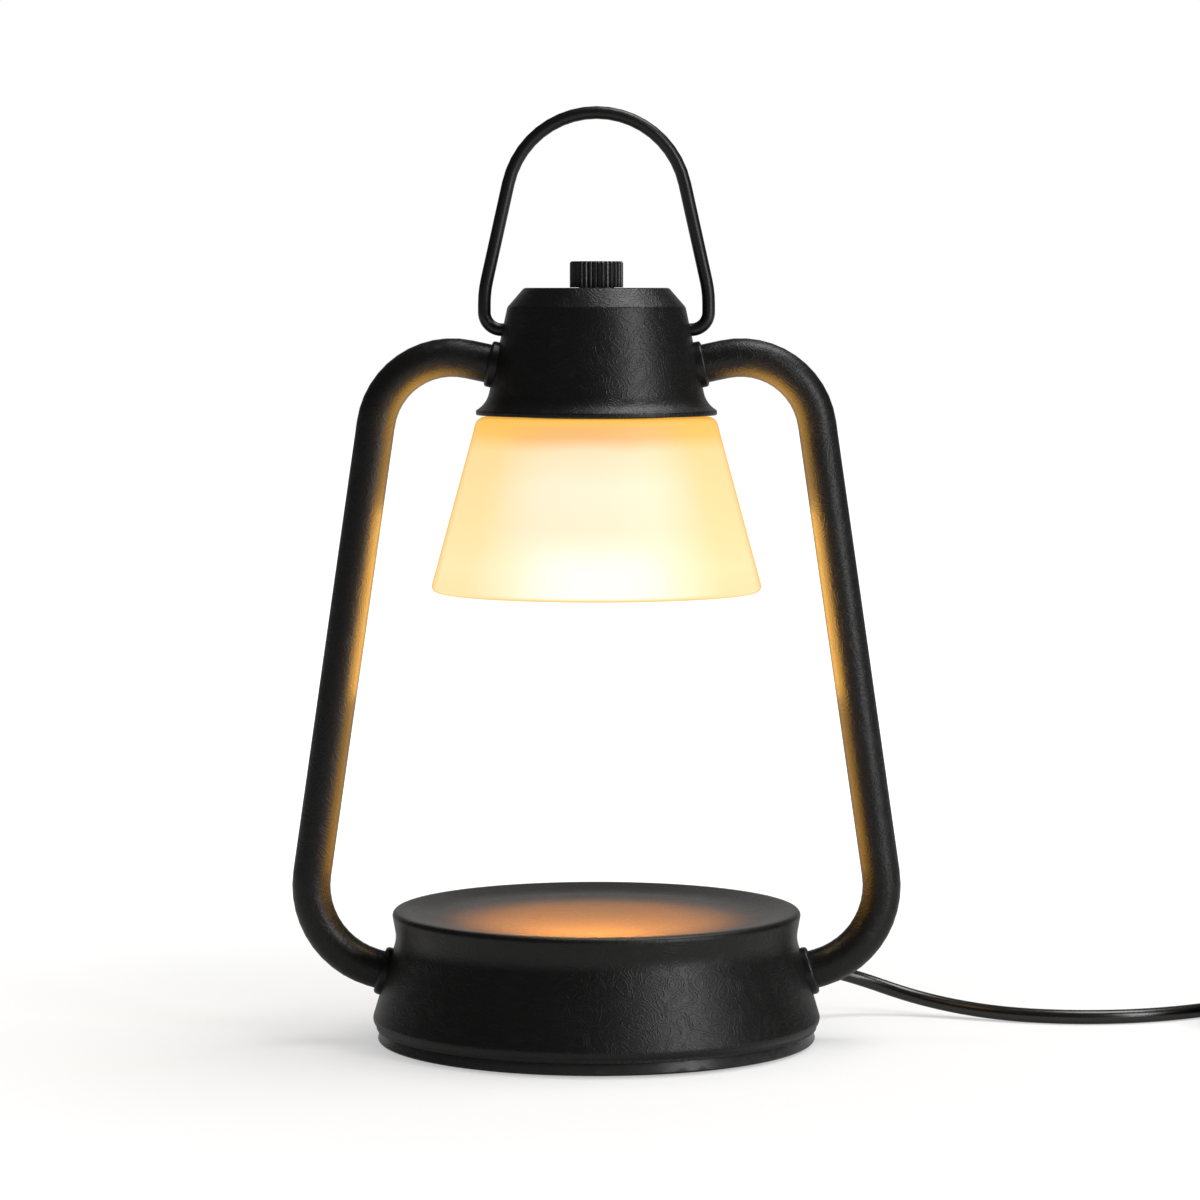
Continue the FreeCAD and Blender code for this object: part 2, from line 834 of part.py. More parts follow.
def lamp_pins():
    pins = [rod(Vector(0, y, lamp_top), Vector(0, 0, 1), pin_length, pin_radius)
            for y in (-pin_spacing / 2, pin_spacing / 2)]
    return Part.makeCompound(pins)


# ---- supply cord, its outlet and plug ----
gland_z = shell_bottom + gland_rise
gland_turn = math.radians(gland_azimuth)
gland_level = Vector(math.cos(gland_turn), math.sin(gland_turn), 0)
gland_foot = gland_level * on_line(gland_z, waist, skirt) + Vector(0, 0, gland_z)
droop = math.radians(gland_droop)
gland_way = gland_level * math.cos(droop) - Vector(0, 0, math.sin(droop))


def cord_gland():
    """A moulded strain relief: a wedge seat on the wall, a neck through it and a ribbed taper."""
    outside = turned([
        (0, -gland_inside, 0),
        (gland_flange, -gland_inside, 0),
        (gland_flange, gland_plate, soft_edge),
        (gland_neck + soft_edge, gland_plate, 0),
        (gland_tip, gland_outside, soft_edge),
        (0, gland_outside, 0),
    ])
    for k in range(gland_groove_count):
        low = gland_groove_start + gland_groove_pitch * k
        high = low + gland_groove_width
        outside = outside.cut(turned([
            (gland_tip, low, 0),
            (gland_flange, low, 0),
            (gland_flange, high, 0),
            (gland_tip, high, 0),
        ]))
    outside = along(outside, gland_foot, gland_way).cut(shell_envelope)
    inner_space = envelope(shell_corners, -shell_wall - seat)
    start = gland_foot - gland_way * gland_inside
    inside = rod(start, gland_way, gland_inside, gland_flange - soft_edge).common(inner_space)
    neck = rod(start, gland_way, gland_inside + gland_plate, gland_neck)
    return outside.fuse(inside).fuse(neck)


floor_line = cord_radius
cord_route = [
    gland_foot + gland_way * gland_outside,
    Vector(86.0, 47.5, 11.6),
    Vector(101.0, 46.5, 6.4),
    Vector(116.0, 40.5, 3.6),
    Vector(132.5, 32.5, 2.4),
    Vector(151.5, 27.5, floor_line),
    Vector(170.0, 28.5, floor_line),
    Vector(187.5, 34.0, floor_line),
    Vector(204.5, 42.5, floor_line),
    Vector(221.5, 49.3, floor_line),
]


def swept_cord(name, points, radii, radius):
    """A cord's tube, with its radii and its volume against its length printed."""
    edges = bent(points, radii)
    tube = pipe(edges, radius)
    length = sum(edge.Length for edge in edges)
    print("%s radii %s" % (name, " ".join("%.0f" % r for r in radii)))
    print("%s length %.1f volume ratio %.5f" % (name, length, tube.Volume / (math.pi * radius ** 2 * length)))
    return tube


def cord_coil():
    """The outer shape of the coiled length: a ring lying on the floor."""
    half = coil_section / 2
    ring = turned([
        (coil_radius - half, 0, cord_radius),
        (coil_radius + half, 0, cord_radius),
        (coil_radius + half, coil_section, cord_radius),
        (coil_radius - half, coil_section, cord_radius),
    ])
    return ring.translated(Vector(coil_centre[0], coil_centre[1], 0))


tail_x = coil_centre[0] + coil_radius
tail_z = plug_thickness / 2
plug_back_y = plug_relief_y - plug_relief_length


def plug_body():
    """A flat two-pin plug on the floor, its moulded relief towards the coil."""
    back = Vector(tail_x, plug_back_y - 1, tail_z)
    corner = Vector(tail_x - plug_width / 2, plug_back_y - plug_length, 0)
    body = Part.makeBox(plug_width, plug_length, plug_thickness, corner)
    upright = [e for e in body.Edges if abs(e.BoundBox.ZLength - plug_thickness) < 1e-6]
    body = body.makeFillet(plug_corner, upright)
    level = [e for e in body.Edges if e.BoundBox.ZLength < 1e-6]
    body = body.makeFillet(plug_edge, level)
    relief = Part.makeCone(plug_relief_radius, gland_tip, plug_relief_length + 1, back, Vector(0, 1, 0))
    return body.fuse(relief)


def plug_pins():
    face = plug_back_y - plug_length
    pins = []
    for side in (-1, 1):
        start = Vector(tail_x + side * plug_pin_spacing / 2, face, tail_z)
        pin = rod(start, Vector(0, -1, 0), plug_pin_length, plug_pin_radius)
        tip = [e for e in pin.Edges if abs(e.BoundBox.YMin - face + plug_pin_length) < 0.01
               and e.BoundBox.YLength < 0.01]
        pins.append(pin.makeFillet(plug_pin_radius - 2 * soft_edge, tip))
    return Part.makeCompound(pins)


def cord_tail():
    start = Vector(tail_x, coil_centre[1] - tail_overlap, tail_z)
    return rod(start, Vector(0, -1, 0), start.y - plug_relief_y, cord_radius)


# ---- wiring inside the base, the right-hand tube and the hood ----
block_middle = ballast_top + block_height / 2
wire_end = block_length / 2 - wire_grip
inlet_start = gland_foot - gland_way * gland_inside
clamp_way = gland_level * -1
inlet_route = [
    inlet_start,
    inlet_start + clamp_way * inlet_straight,
    Vector(32, 11, block_middle + 1.8),
    Vector(23, wire_offset, block_middle),
    Vector(wire_end, wire_offset, block_middle),
]
stub_start = base_port - base_normal * riser_setback
riser_route = [
    Vector(wire_end, -wire_offset, block_middle),
    Vector(25, -wire_offset, block_middle),
    stub_start,
    lower_knee,
    upper_knee,
    hood_port - hood_normal * nipple_inside,
]


wells = [Vector(x, y, ballast_top + block_height - block_well_depth)
         for x in (-block_well_offset, block_well_offset) for y in (-wire_offset, wire_offset)]


def terminal_block():
    corner = Vector(-block_length / 2, -block_width / 2, ballast_top)
    block = Part.makeBox(block_length, block_width, block_height, corner)
    for y, radius in ((wire_offset, cord_radius), (-wire_offset, riser_radius)):
        start = Vector(wire_end - slip, y, block_middle)
        block = block.cut(rod(start, Vector(1, 0, 0), wire_grip + 1, radius + slip))
    for well in wells:
        block = block.cut(rod(well, Vector(0, 0, 1), block_well_depth, block_well_radius))
    return block


def terminal_screws():
    return Part.makeCompound([rod(well, Vector(0, 0, 1), block_screw_height, block_well_radius - slip)
                              for well in wells])


def cord_clamp():
    """An upright saddle on the ballast that grips the cord behind its outlet."""
    middle = inlet_start + clamp_way * clamp_setback
    height = middle.z + clamp_size / 2 - ballast_top
    corner = Vector(-clamp_thickness / 2, -clamp_size / 2, 0)
    post = Part.makeBox(clamp_thickness, clamp_size, height, corner)
    turn = math.degrees(math.atan2(clamp_way.y, clamp_way.x))
    post.Placement = FreeCAD.Placement(Vector(middle.x, middle.y, ballast_top),
                                       FreeCAD.Rotation(Vector(0, 0, 1), turn))
    return post.cut(rod(inlet_start, clamp_way, clamp_setback + clamp_thickness, cord_radius + slip))


def inlet_cable():
    return swept_cord("inlet_cable", inlet_route, eased(inlet_route), cord_radius)


def riser_cable():
    radii = eased(riser_route)[:2] + [lower_bend, upper_bend]
    return swept_cord("riser_cable", riser_route, radii, riser_radius)


def hood_leads():
    """Two wires from the tube up to the dimmer, and two from the dimmer down to the lamp holder."""
    under = hood_ceiling - dimmer_depth
    mouth = riser_route[-1] - hood_normal * lead_gap
    leads = []
    for side in (-1, 1):
        route = [
            mouth + Vector(0, side * 0.95, 0),
            Vector(mouth.x - 3.0, side * 2.6, mouth.z - 0.2),
            Vector(18.6, side * 9.4, mouth.z + 5.0),
            Vector(12.5, side * 10.4, web_top + 1.6),
            Vector(8.2, side * 6.2, under - 2.2),
            Vector(8.2, side * 6.2, under),
        ]
        leads.append(pipe(bent(route, eased(route)), lead_radius))
    for spot in lead_spots:
        leads.append(rod(spot + Vector(0, 0, cup_ceiling), Vector(0, 0, 1), under - cup_ceiling, lead_radius))
    return Part.makeCompound(leads)


# ---- the pieces ----
right_tube = side_tube()
right_base_collar = collar(base_port, base_normal, base_collar_radius, shell_envelope)
right_hood_collar = collar(hood_port, hood_normal, hood_collar_radius, hood_envelope)
save("bottom_tray", bottom_tray())
save("foot_pads", foot_pads())
save("ballast_disc", ballast_disc())
save("base_posts", base_posts())
save("base_screws", base_screws())
save("base_shell", base_shell())
save("tube_right", right_tube)
save("tube_left", mirrored(right_tube))
save("base_collar_right", right_base_collar)
save("base_collar_left", mirrored(right_base_collar))
save("hood_collar_right", right_hood_collar)
save("hood_collar_left", mirrored(right_hood_collar))
save("base_nuts", both(base_nut()))
save("hood_nuts", both(hood_nut()))
save("hood", hood())
save("bail", bail())
save("bail_clips", bail_clips())
save("knob", knob())
save("dimmer_shaft", dimmer_shaft())
save("dimmer_body", dimmer_body())
save("dimmer_nut", dimmer_nut())
save("hood_bridge", hood_bridge())
save("holder_cup", holder_cup())
save("lamp_holder", lamp_holder())
save("holder_screws", holder_screws())
save("shade", shade())
save("shade_ring", shade_ring())
save("lamp_reflector", lamp_reflector())
save("lamp_lens", lamp_lens())
save("lamp_capsule", lamp_capsule())
save("lamp_pins", lamp_pins())
save("cord_gland", cord_gland())
save("cord_lead", swept_cord("cord_lead", cord_route, eased(cord_route), cord_radius))
save("cord_coil", cord_coil())
save("cord_tail", cord_tail())
save("plug_body", plug_body())
save("plug_pins", plug_pins())
save("terminal_block", terminal_block())
save("terminal_screws", terminal_screws())
save("cord_clamp", cord_clamp())
save("inlet_cable", inlet_cable())
save("riser_cable", riser_cable())
save("hood_leads", hood_leads())
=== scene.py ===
# %% [markdown]
# # A candle warmer lamp in Blender
# A black lantern frame carries a frosted glass shade with a warm lamp in it. The solids come
# packed from CAD, in metres, and this lesson dresses them: it builds the pieces that show as
# smooth meshes, gives every piece its finish, and lights the whole in a small studio.

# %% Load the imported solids
import json
import math

import bmesh
import bpy
from mathutils import Matrix, Vector


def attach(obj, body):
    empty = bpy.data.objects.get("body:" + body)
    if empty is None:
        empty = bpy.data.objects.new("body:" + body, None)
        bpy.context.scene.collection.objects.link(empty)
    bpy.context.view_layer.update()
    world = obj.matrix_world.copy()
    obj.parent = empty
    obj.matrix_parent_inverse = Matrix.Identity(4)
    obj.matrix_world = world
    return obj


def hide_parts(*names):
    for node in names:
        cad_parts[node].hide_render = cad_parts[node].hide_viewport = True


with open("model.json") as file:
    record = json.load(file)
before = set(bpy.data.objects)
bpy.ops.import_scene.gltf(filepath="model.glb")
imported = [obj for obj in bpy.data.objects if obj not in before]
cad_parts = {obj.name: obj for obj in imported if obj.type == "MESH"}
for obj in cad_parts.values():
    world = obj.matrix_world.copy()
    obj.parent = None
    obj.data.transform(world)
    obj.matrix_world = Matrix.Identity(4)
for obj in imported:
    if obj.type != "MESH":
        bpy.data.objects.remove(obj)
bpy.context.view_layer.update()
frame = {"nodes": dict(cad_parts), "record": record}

mm = 0.001
nodes = frame["nodes"]
scene = bpy.context.scene

# %% [markdown]
# ## The camera
# A long lens from more than a metre away keeps the perspective weak, so the near rim of the base
# is hardly wider than the far one. The camera stands as high as the top of the hood and looks
# down by four degrees, and so the candle plate shows as a slim oval.

# %% Set the camera
camera_data = bpy.data.cameras.new("camera")
camera_data.lens = 130.5
camera_data.sensor_width = 36.0
camera = bpy.data.objects.new("camera", camera_data)
camera.location = (0.00109, -1.353, 0.2348)
camera.rotation_euler = (math.radians(85.92), 0, 0)
scene.collection.objects.link(camera)
scene.camera = camera
scene.view_settings.view_transform = "Standard"
print("camera", tuple(round(c, 4) for c in camera.location), "lens", camera_data.lens)

# %% [markdown]
# ## The supply cord
# A table lamp's cord is about 1.8 m of round lead. It leaves the base low at the back, sinks to
# the table and runs off to the right, where the rest lies coiled beside its plug. A smooth NURBS
# curve with few control points bends as a stiff cord does, so the whole cord is one such curve:
# the points of the open run first, then the turns of the coil, then the way into the plug.

# %% Trace the open run of the cord
cord_radius = 2.3 * mm
gland_foot = Vector((57.5, 33.2, 19.8)) * mm
gland_way = Vector((0.847, 0.489, -0.208)).normalized()
relief_length = 18.0 * mm              # the part of the gland outside the shell's wall
cord_exit = gland_foot + gland_way * relief_length
cord_points = [tuple(cord_exit - gland_way * (relief_length / 2)), tuple(cord_exit)]
cord_points += [(x * mm, y * mm, z * mm) for x, y, z in (
    (86.0, 47.5, 11.6), (101.0, 46.5, 6.4), (116.0, 40.5, 3.6), (132.5, 32.5, 2.4),
    (151.5, 27.5, 2.3), (170.0, 28.8, 2.3), (187.0, 35.4, 2.3), (202.5, 46.5, 2.3))]
print("points on the open run:", len(cord_points))

# %% [markdown]
# The coil is wound as a hand winds it, on the floor first and then on itself. Each entry below
# is one place in the stack: how many turns it holds, its radius and its height. Between two
# places the cord shifts over within about a quarter of a turn. A place holds a little less than a
# whole turn, so that each shift comes earlier than the one before and no turn runs into its
# neighbour.

# %% Wind the coil
coil_centre = Vector((232.0, 24.0)) * mm
outer, middle, inner, inmost = (r * mm for r in (32.6, 28.0, 23.4, 19.0))
floor_row, second_row, third_row = cord_radius, 3 * cord_radius, 5 * cord_radius
entry_angle = math.radians(112.5)
floor_turn, upper_turn, climb, last = 325 / 360, 336 / 360, 100 / 360, 261.5 / 360
stack = [(floor_turn, outer, floor_row), (floor_turn, middle, floor_row),
         (floor_turn, inner, floor_row), (climb, inmost, floor_row),
         (upper_turn, inmost, second_row), (upper_turn, inner, second_row),
         (upper_turn, inner, third_row), (upper_turn, middle, third_row),
         (upper_turn, middle, second_row), (upper_turn, outer, second_row),
         (last, outer, third_row)]
points_per_turn = 16
shift_span = math.radians(100)
swell = 1 / math.cos(math.pi / points_per_turn)   # the curve cuts inside its control points


def place_in_stack(travelled):
    """The radius and height of the cord after it has gone that far round the coil."""
    start = 0.0
    radius, height = stack[0][1:]
    for (turns, *_), (_, next_radius, next_height) in zip(stack, stack[1:]):
        start += turns * math.tau
        part = min(max((travelled - start) / shift_span + 0.5, 0.0), 1.0)
        part = part * part * (3 - 2 * part)
        radius += (next_radius - radius) * part
        height += (next_height - height) * part
    return radius, height


whole_turn = sum(turns for turns, *_ in stack) * math.tau
steps = round(whole_turn / math.tau * points_per_turn)
for k in range(steps):
    travelled = whole_turn * k / steps
    angle = entry_angle - travelled
    radius, height = place_in_stack(travelled)
    cord_points.append((coil_centre.x + radius * swell * math.cos(angle),
                        coil_centre.y + radius * swell * math.sin(angle), height))
print("turns in the coil:", round(whole_turn / math.tau, 2))

# %% [markdown]
# From the top row the cord comes down to the plug's height and enters the plug's own strain
# relief. The last two points lie on the plug's axis, so that it goes in straight.

# %% Lead the cord into the plug
plug_x, plug_z = 259.4 * mm, 6.8 * mm
relief_mouth, cord_end = -8.0 * mm, -18.0 * mm    # along Y, into the plug's own relief
cord_points += [(plug_x + 4.9 * mm, 19.0 * mm, 11.3 * mm),
                (plug_x + 4.2 * mm, 9.0 * mm, 10.2 * mm), (plug_x + 1.6 * mm, 0.0, 7.9 * mm),
                (plug_x, relief_mouth, plug_z), (plug_x, cord_end, plug_z)]
print("control points of the cord:", len(cord_points))

# %% [markdown]
# A NURBS curve of the third order passes near its control points without a kink. The bevel
# makes it round, and each point's own radius carries the cord's thickness.

# %% Make the cord's curve
cord_curve = bpy.data.curves.new("supply_cord", "CURVE")
cord_curve.dimensions = "3D"
cord_curve.bevel_depth = 1.0          # times each point's own radius
cord_curve.bevel_resolution = 5
cord_curve.resolution_u = 6
spline = cord_curve.splines.new("NURBS")
spline.points.add(len(cord_points) - 1)
for point, place in zip(spline.points, cord_points):
    point.co = (*place, 1.0)
    point.radius = cord_radius
spline.order_u = 3
spline.use_endpoint_u = True
cord = bpy.data.objects.new("supply_cord", cord_curve)
scene.collection.objects.link(cord)
print("cord on", len(spline.points), "points")

# %% [markdown]
# ## Shader maths
# Most finishes of this lamp are sums of noises. As calls that add and link nodes they would be
# hard to read, so a small class wraps a socket and lets Python's operators add the Math nodes.
# Colours of solid stuff are written as the screen shows them, from 0 to 255, and made linear
# once. Those of light, glass and the table are linear from the start.

# %% Let sockets take part in sums
def tint(red, green, blue):
    """A colour as the screen shows it, 0 to 255, made linear."""
    def linear(value):
        value /= 255
        return value / 12.92 if value <= 0.04045 else ((value + 0.055) / 1.055) ** 2.4
    return (linear(red), linear(green), linear(blue), 1.0)


class Link:
    """A socket that takes part in sums: each operator adds a Math node."""
    def __init__(self, tree, socket):
        self.tree, self.socket = tree, socket

    def maths(self, operation, first, second=0.0):
        node = self.tree.nodes.new("ShaderNodeMath")
        node.operation = operation
        for socket, value in zip(node.inputs, (first, second)):
            if isinstance(value, Link):
                self.tree.links.new(value.socket, socket)
            else:
                socket.default_value = value
        return Link(self.tree, node.outputs[0])

    def __add__(self, other): return self.maths("ADD", self, other)
    def __sub__(self, other): return self.maths("SUBTRACT", self, other)
    def __rsub__(self, other): return self.maths("SUBTRACT", other, self)
    def __mul__(self, other): return self.maths("MULTIPLY", self, other)
    def __truediv__(self, other): return self.maths("DIVIDE", self, other)
    def __abs__(self): return self.maths("ABSOLUTE", self)
    def either(self, other): return self.maths("MAXIMUM", self, other)
    __radd__, __rmul__ = __add__, __mul__


print("a mid grey of 128 is", round(tint(128, 128, 128)[0], 3), "in linear light")

# %% [markdown]
# Every other node comes from one method. It takes the node's type, its settings, which are set
# first because some of them change the sockets, and then a value or a link for each socket. A
# finish is a material with that method and the few patterns that recur on this lamp.

# %% Add any other node
class Shading:
    """A node tree, and the one method that adds a node to it."""
    def __init__(self, tree):
        self.tree = tree

    def node(self, kind, settings=(), values=(), out=0):
        node = self.tree.nodes.new("ShaderNode" + kind)
        for name, value in dict(settings).items():
            if name == "stops":
                ramp = node.color_ramp
                for index, (position, colour) in enumerate(value):
                    stop = ramp.elements[index] if index < 2 else ramp.elements.new(position)
                    stop.position, stop.color = position, colour
            else:
                setattr(node, name, value)
        for name, value in dict(values).items():
            if isinstance(value, Link):
                self.tree.links.new(value.socket, node.inputs[name])
            else:
                node.inputs[name].default_value = value
        return Link(self.tree, node.outputs[out])

    def light_path(self, kind):
        """1 for rays of that kind and 0 for the others."""
        return self.node("LightPath", out=kind)


class Finish(Shading):
    """A material with its main shader and the patterns that this lamp needs."""
    def __init__(self, name, **constants):
        self.name = name
        self.material = bpy.data.materials.new(name)
        self.material.use_nodes = True
        super().__init__(self.material.node_tree)
        self.shader = self.tree.nodes["Principled BSDF"]
        self.end = self.tree.nodes["Material Output"]
        self.place = self.node("TexCoord", out="Object")
        for socket, value in constants.items():
            self.shader.inputs[socket.replace("_", " ")].default_value = value

    def feed(self, socket, link):
        self.tree.links.new(link.socket, self.shader.inputs[socket])

    def noise(self, size, detail=2.0, roughness=0.5, place=None):
        """Soft noise with features of that size in metres."""
        values = {"Vector": place or self.place, "Scale": 1 / size, "Detail": detail,
                  "Roughness": roughness}
        return self.node("TexNoise", values=values)

    def cells(self, size, out="Distance"):
        """A pattern of cells of that size in metres."""
        return self.node("TexVoronoi", values={"Vector": self.place, "Scale": 1 / size}, out=out)

    def stretched(self, factors):
        """The place on the piece with each axis scaled by its factor."""
        return self.node("Mapping", values={"Vector": self.place, "Scale": factors})

    def between(self, share, first, second):
        """A colour part of the way from the first to the second."""
        return self.node("Mix", {"data_type": "RGBA"}, {0: share, 6: first, 7: second}, out=2)

    def ramp(self, value, low, high):
        """0 below low, 1 above high, smooth between them."""
        settings = {"interpolation_type": "SMOOTHSTEP"}
        values = {"Value": value, "From Min": low, "From Max": high}
        return self.node("MapRange", settings, values)

    def bump(self, height, depth, strength=1.0):
        """Raises the surface by height, where 1 is that depth in metres."""
        values = {"Height": height, "Distance": depth, "Strength": strength}
        self.feed("Normal", self.node("Bump", values=values))


print("node helpers ready")

# %% [markdown]
# ## The table and the studio
# The lamp stands on a plain pale table that fades into a white room. The table is matt and
# takes the lamp's shadow. It also has a little light of its own, which the camera and clear
# glass see in full and glossy surfaces weakly. It lifts the unshaded part to white. Matt surfaces
# don't see it at all, so it adds no fill to the lamp.

# %% Lay the table
table_reach = 6.0                      # metres from the lamp to each side
mesh = bpy.data.meshes.new("table_top")
bm = bmesh.new()
bmesh.ops.create_grid(bm, x_segments=1, y_segments=1, size=table_reach)
bm.to_mesh(mesh)
bm.free()
table = bpy.data.objects.new("table_top", mesh)
scene.collection.objects.link(table)

near_lift, far_lift, lift_in_gloss = 0.46, 1.0, 0.3
fade_from, fade_to = 0.10, 0.6         # metres from the lamp's axis
matt = Finish("pale_table", Base_Color=(0.42, 0.42, 0.42, 1), Roughness=0.9, Specular_IOR_Level=0.0)
distance = matt.node("VectorMath", {"operation": "LENGTH"}, {0: matt.place}, out="Value")
far = matt.ramp(distance, fade_from, fade_to)
seen = matt.light_path("Is Camera Ray").either(matt.light_path("Is Transmission Ray"))
seen = seen.either(matt.light_path("Is Glossy Ray") * lift_in_gloss)
strength = seen * (near_lift + far * (far_lift - near_lift))
lift = matt.node("Emission", values={"Strength": strength})
paper = matt.node("AddShader")
for socket, shade in zip(paper.socket.node.inputs, (matt.shader.outputs[0], lift.socket)):
    matt.tree.links.new(shade, socket)
matt.tree.links.new(paper.socket, matt.end.inputs[0])
mesh.materials.append(matt.material)
print("table", 2 * table_reach, "m square")

# %% [markdown]
# The room is white to the camera and gives an even fill on matt surfaces. In gloss it is dark
# but for a pale patch straight behind the lamp, because black surfaces turn grey under a room
# that is white all round.

# %% Fill the room with light
dark_room, pale_patch, even_fill = 0.07, 0.60, 0.5
world = bpy.data.worlds.new("room")
world.use_nodes = True
scene.world = world
room = Shading(world.node_tree)
background = room.tree.nodes["Background"]
background.inputs["Color"].default_value = (1, 1, 1, 1)
way = room.node("TexCoord", out="Generated")
ahead = room.node("SeparateXYZ", values={0: way}, out="Y")
behind_lamp = room.node("MapRange", {"interpolation_type": "SMOOTHSTEP"},
                        {"Value": ahead, "From Min": 0.8, "From Max": 1.0})
gloss = room.light_path("Is Glossy Ray")
clear = room.light_path("Is Camera Ray").either(room.light_path("Is Transmission Ray"))
mirrored = gloss * (dark_room + behind_lamp * pale_patch)
brightness = mirrored + clear + (1 - gloss.either(clear)) * even_fill
room.tree.links.new(brightness.socket, background.inputs["Strength"])
print("room:", len(room.tree.nodes), "nodes")

# %% [markdown]
# Three softboxes draw the black shapes: a tall key at the front right, a square one overhead,
# and a low slim one that leaves a streak on the tray and on the base's wall. They show in gloss,
# since their mirror images are what gives black its form, but never to the camera.

# %% Hang the softboxes
def softbox(name, place, aim, width, height, watts, colour=(1, 1, 1), spread=180):
    light = bpy.data.lights.new(name, "AREA")
    light.shape = "RECTANGLE"
    light.size, light.size_y = width, height
    light.energy = watts
    light.color = colour
    light.spread = math.radians(spread)
    obj = bpy.data.objects.new(name, light)
    obj.location = place
    obj.rotation_euler = (Vector(aim) - Vector(place)).to_track_quat("-Z", "Y").to_euler()
    obj.visible_camera = False
    scene.collection.objects.link(obj)
    return obj


key = softbox("key_softbox", (1.12, -1.0, 0.80), (0, 0, 0.13), 0.5, 0.9, 12.5)
top = softbox("top_softbox", (0.50, 0.15, 1.6), (0, 0, 0.1), 0.8, 0.8, 16)
low = softbox("low_softbox", (1.10, -1.0, 0.10), (0, 0, 0.02), 0.6, 0.12, 3.0)
print("softboxes:", key.name, top.name, low.name)

# %% [markdown]
# ## The lamp's own light
# The lamp's light is warm. It falls on the candle plate in a cone that fades out at the plate's
# rim. A spot lamp in the mouth of the shade makes it, with a narrower and deeper amber one inside
# it that leans a little forward.

# %% Light the plate from the lamp
lamp_face = (0, 0, 139.0 * mm)


def lamp_cone(name, angle, forward, watts, colour):
    light = bpy.data.lights.new(name, "SPOT")
    light.energy, light.color = watts, colour
    light.spot_size, light.spot_blend = math.radians(angle), 0.7
    light.shadow_soft_size = 4.0 * mm
    obj = bpy.data.objects.new(name, light)
    obj.location = lamp_face
    obj.rotation_euler = (-math.radians(forward), 0, 0)
    obj.visible_camera = False
    scene.collection.objects.link(obj)


lamp_cone("lamp_beam", 64, 0, 2.2, (1, 0.56, 0.26))
lamp_cone("amber_pool", 54, 5, 17.0, (1, 0.32, 0.015))
print("cones of light from", lamp_face)

# %% [markdown]
# What leaves the shade sideways runs along the inner side of each tube. The shade's own glow is
# too even for that, so a slim warm strip stands beside each tube. A shorter strip stands just
# before it where the shade is nearest, and a small light sits under each upper bend.

# %% Light the tubes from the shade
amber = (1, 0.50, 0.09)
strip_width = 30 * mm
strips = (("long", 0.54, 22, 165, 0.068), ("short", 0.57, 19, 60, 0.042))
crook, crook_aim = Vector((57, 0, 190)) * mm, Vector((0.15, 0, 1))
tube_foot, tube_head = Vector((92.4, 0, 29.5)) * mm, Vector((64.9, 0, 218.7)) * mm
outward = (tube_foot - tube_head).cross(Vector((0, 1, 0))).normalized()
for side, name in ((1, "right"), (-1, "left")):
    mirror = Vector((side, 1, 1))
    for part, share, away, length, watts in strips:
        spot = tube_foot.lerp(tube_head, share) - outward * away * mm
        softbox("%s_glow_%s" % (part, name), spot * mirror, (spot + outward) * mirror,
                strip_width, length * mm, watts, amber, spread=140)
    softbox("crook_glow_" + name, crook * mirror, (crook + crook_aim) * mirror,
            strip_width, 26 * mm, 0.008, amber, spread=110)

# %% [markdown]
# ## Sweeps and spins
# Nearly all of this lamp is made on a lathe or a tube bender, and bmesh's spin does both jobs.
# With no angle it drags its geometry along a straight run, with one it carries it round a
# bend. So a single point traces a lathe profile with rounded corners, and a ring of points
# traces a bent tube. A full spin of the profile about the Z axis then makes the turned piece. The
# bevel operator rounds corners too, but each of these corners has a radius of its own.

# %% Trace a line or a tube
arc_step, fewest_steps = math.radians(8), 3
least_run = 0.0001 * mm


def trace(bm, front, route, roundings):
    """Drags the front, which stands at the route's first point, along runs and arcs."""
    here = Vector(route[0])
    for index in range(1, len(route)):
        corner = Vector(route[index])
        ahead = (corner - here).normalized()
        stop, turn = corner, 0.0
        if index < len(route) - 1 and roundings[index - 1] > 0:
            leave = (Vector(route[index + 1]) - corner).normalized()
            turn = ahead.angle(leave)
            cut = roundings[index - 1] * math.tan(turn / 2)
            stop = corner - ahead * cut
        run = stop - here
        if run.length > least_run:
            front = bmesh.ops.spin(bm, geom=front, cent=(0, 0, 0), axis=(0, 0, 1), dvec=run,
                                   angle=0.0, steps=1)["geom_last"]
        here = stop
        if turn > 0:
            inward = (leave - ahead * ahead.dot(leave)).normalized()
            front = bmesh.ops.spin(bm, geom=front, cent=stop + inward * roundings[index - 1],
                                   axis=ahead.cross(leave), angle=turn,
                                   steps=max(fewest_steps, math.ceil(turn / arc_step)))["geom_last"]
            here = corner + leave * cut
    return front


def tidy(bm):
    """Poles and seams merged, stray edges gone, faces pointing outwards."""
    bmesh.ops.remove_doubles(bm, verts=bm.verts, dist=0.002 * mm)
    loose = [edge for edge in bm.edges if not edge.link_faces]
    bmesh.ops.delete(bm, geom=loose, context="EDGES")
    bmesh.ops.dissolve_degenerate(bm, dist=0.001 * mm, edges=bm.edges)
    bmesh.ops.recalc_face_normals(bm, faces=bm.faces)
    return bm


print("arcs in steps of", round(math.degrees(arc_step)), "degrees")

# %% [markdown]
# The lathe starts in the middle of a straight side, so that the outline closes where it has no
# corner. The bender starts from a ring of points square to the route. A mirror adds the twin of
# a piece that the lamp has on both sides.

